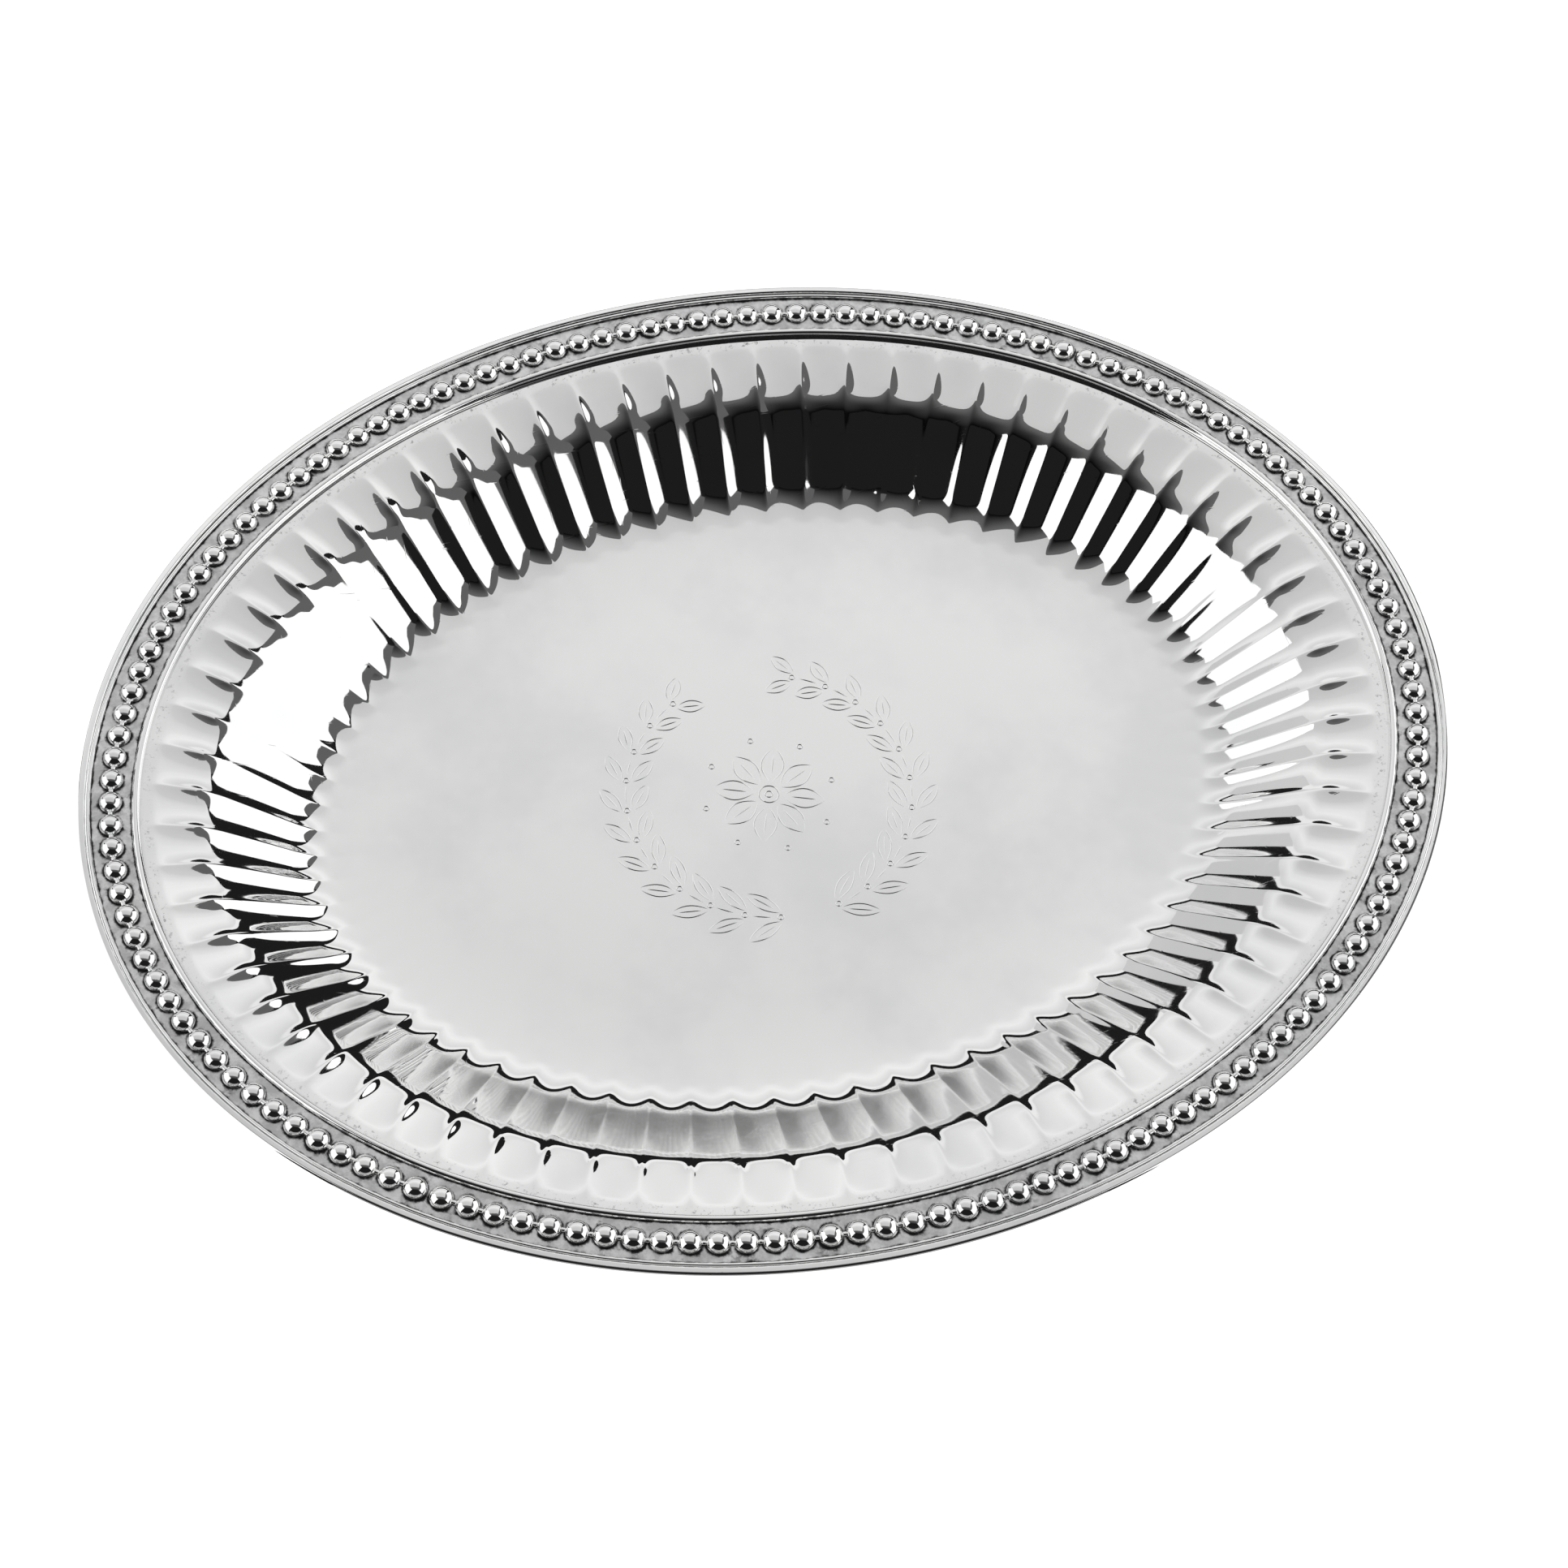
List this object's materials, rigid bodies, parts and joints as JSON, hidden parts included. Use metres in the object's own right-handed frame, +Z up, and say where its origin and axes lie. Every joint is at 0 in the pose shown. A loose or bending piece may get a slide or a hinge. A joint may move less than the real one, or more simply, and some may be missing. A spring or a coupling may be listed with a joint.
{
  "type": "oval fluted salver",
  "caption": "Oval silver salver with a fluted well and an applied beaded border, resting on its flat base.",
  "frame": {"origin": "middle of the flat base's underside, where the salver rests", "axes": "+Z up, +X along the oval's length, +Y along its width; the pictured near side is -Y"},
  "size_m": [0.3048, 0.254, 0.0228],
  "materials": {
    "polished_silver": "hand-polished silver with faint scratches and smudges",
    "satin_silver": "satin silver, darkened in the corners by tarnish"
  },
  "bodies": {
    "root": {"dish_body": "polished_silver", "inner_reed": "polished_silver", "outer_reed": "polished_silver", "edge_moulding": "polished_silver", "bead_wire_right": "polished_silver", "bead_wire_back": "polished_silver", "bead_wire_left": "polished_silver", "bead_wire_front": "polished_silver", "border_channel_right": "satin_silver", "border_channel_back": "satin_silver", "border_channel_left": "satin_silver", "border_channel_front": "satin_silver"}
  },
  "joints": []
}
